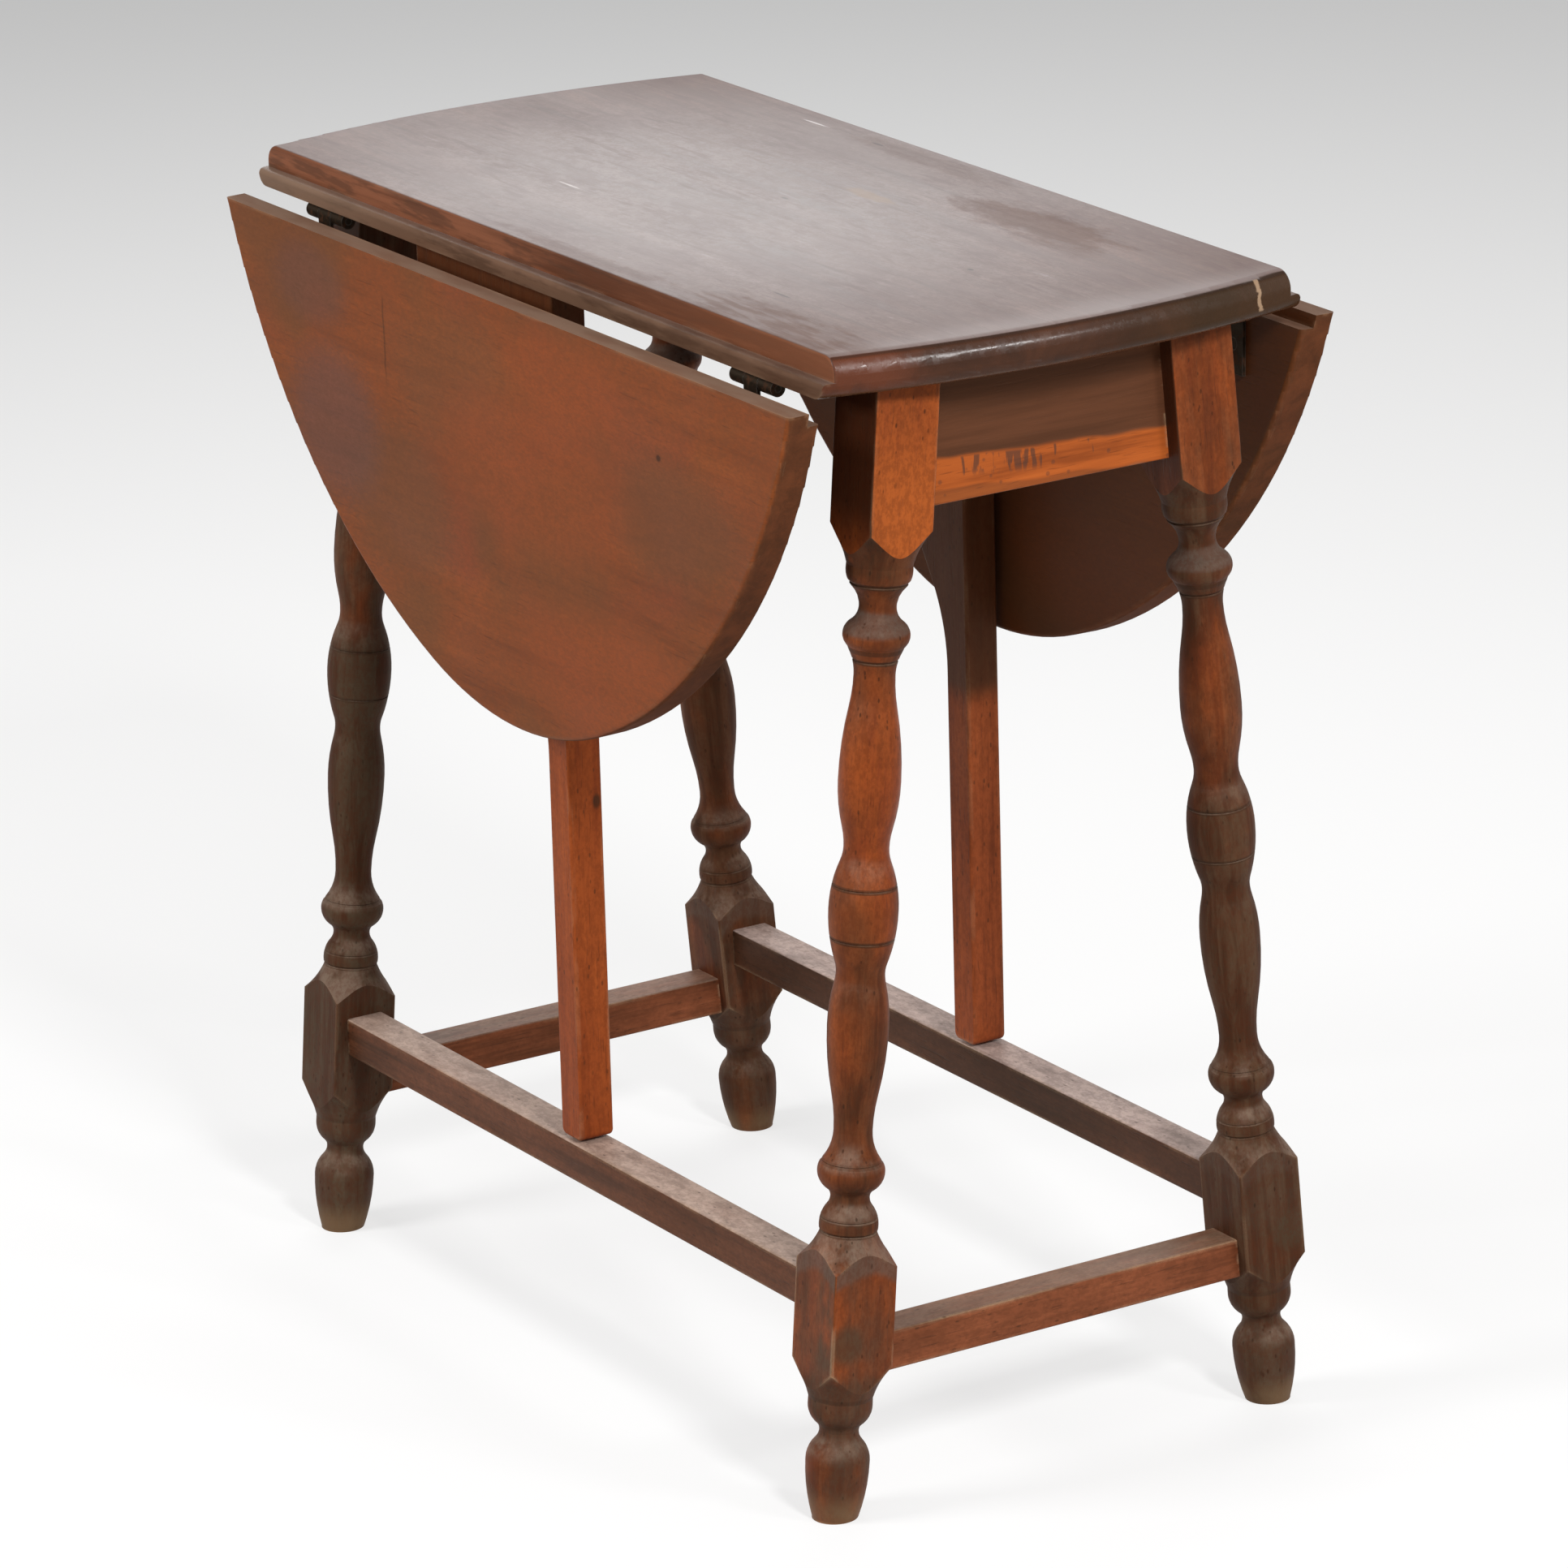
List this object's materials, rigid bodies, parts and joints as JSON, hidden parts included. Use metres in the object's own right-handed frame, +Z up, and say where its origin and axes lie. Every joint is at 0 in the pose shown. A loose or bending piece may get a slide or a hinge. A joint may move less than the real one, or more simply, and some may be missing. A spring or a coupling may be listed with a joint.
{
  "type": "drop-leaf side table",
  "caption": "Small drop-leaf side table with splayed turned legs, box stretchers and winged swing brackets that carry the two rounded leaves.",
  "frame": {"origin": "on the floor, under the middle of the table", "axes": "+X along the hinge lines towards the right end, +Y towards the rear leaf, +Z up"},
  "size_m": [0.592, 0.3228, 0.61],
  "materials": {
    "top_wood": "worn dark varnish with dust, satin",
    "leaf_wood": "red-brown varnished wood, satin",
    "frame_wood": "red-brown varnished wood, dusty, satin",
    "hinge_iron": "dark aged iron"
  },
  "bodies": {
    "frame": {"top_board": "top_wood", "leg_front_left": "frame_wood", "leg_front_right": "frame_wood", "leg_rear_left": "frame_wood", "leg_rear_right": "frame_wood", "apron_left": "frame_wood", "end_stretcher_left": "frame_wood", "apron_right": "frame_wood", "end_stretcher_right": "frame_wood", "glue_block_front_left": "frame_wood", "glue_block_rear_left": "frame_wood", "glue_block_front_right": "frame_wood", "glue_block_rear_right": "frame_wood", "side_stretcher_front": "frame_wood", "side_stretcher_rear": "frame_wood", "hinge_top_plate_front_left": "hinge_iron", "hinge_top_plate_front_right": "hinge_iron", "hinge_top_plate_rear_left": "hinge_iron", "hinge_top_plate_rear_right": "hinge_iron", "hinge_pin_front_left": "hinge_iron", "hinge_pin_front_right": "hinge_iron", "hinge_pin_rear_left": "hinge_iron", "hinge_pin_rear_right": "hinge_iron", "screw_top_front_left_a": "hinge_iron", "screw_top_front_left_b": "hinge_iron", "screw_top_front_right_a": "hinge_iron", "screw_top_front_right_b": "hinge_iron", "screw_top_rear_left_a": "hinge_iron", "screw_top_rear_left_b": "hinge_iron", "screw_top_rear_right_a": "hinge_iron", "screw_top_rear_right_b": "hinge_iron"},
    "leaf_front": {"leaf_front": "leaf_wood", "hinge_leaf_plate_front_left": "hinge_iron", "hinge_leaf_plate_front_right": "hinge_iron", "screw_leaf_front_left_a": "hinge_iron", "screw_leaf_front_left_b": "hinge_iron", "screw_leaf_front_right_a": "hinge_iron", "screw_leaf_front_right_b": "hinge_iron"},
    "bracket_front": {"swing_bracket_front": "frame_wood", "pivot_low_front": "frame_wood", "pivot_top_front": "frame_wood"},
    "leaf_rear": {"leaf_rear": "leaf_wood", "hinge_leaf_plate_rear_left": "hinge_iron", "hinge_leaf_plate_rear_right": "hinge_iron", "screw_leaf_rear_left_a": "hinge_iron", "screw_leaf_rear_left_b": "hinge_iron", "screw_leaf_rear_right_a": "hinge_iron", "screw_leaf_rear_right_b": "hinge_iron"},
    "bracket_rear": {"swing_bracket_rear": "frame_wood", "pivot_low_rear": "frame_wood", "pivot_top_rear": "frame_wood"}
  },
  "joints": [
    {"name": "leaf_front_hinge", "type": "hinge", "parent": "frame", "child": "leaf_front", "pos_m": [0, -0.1357, 0.5843], "axis": [-1, 0, 0], "range_deg": [0, 91.1]},
    {"name": "bracket_front_swing", "type": "hinge", "parent": "frame", "child": "bracket_front", "pos_m": [0.002, -0.1237, 0.35], "axis": [0, 0, 1], "range_deg": [-70, 2]},
    {"name": "leaf_rear_hinge", "type": "hinge", "parent": "frame", "child": "leaf_rear", "pos_m": [0, 0.1357, 0.5843], "axis": [1, 0, 0], "range_deg": [0, 91.1]},
    {"name": "bracket_rear_swing", "type": "hinge", "parent": "frame", "child": "bracket_rear", "pos_m": [0.002, 0.1237, 0.35], "axis": [0, 0, -1], "range_deg": [-70, 2]}
  ]
}
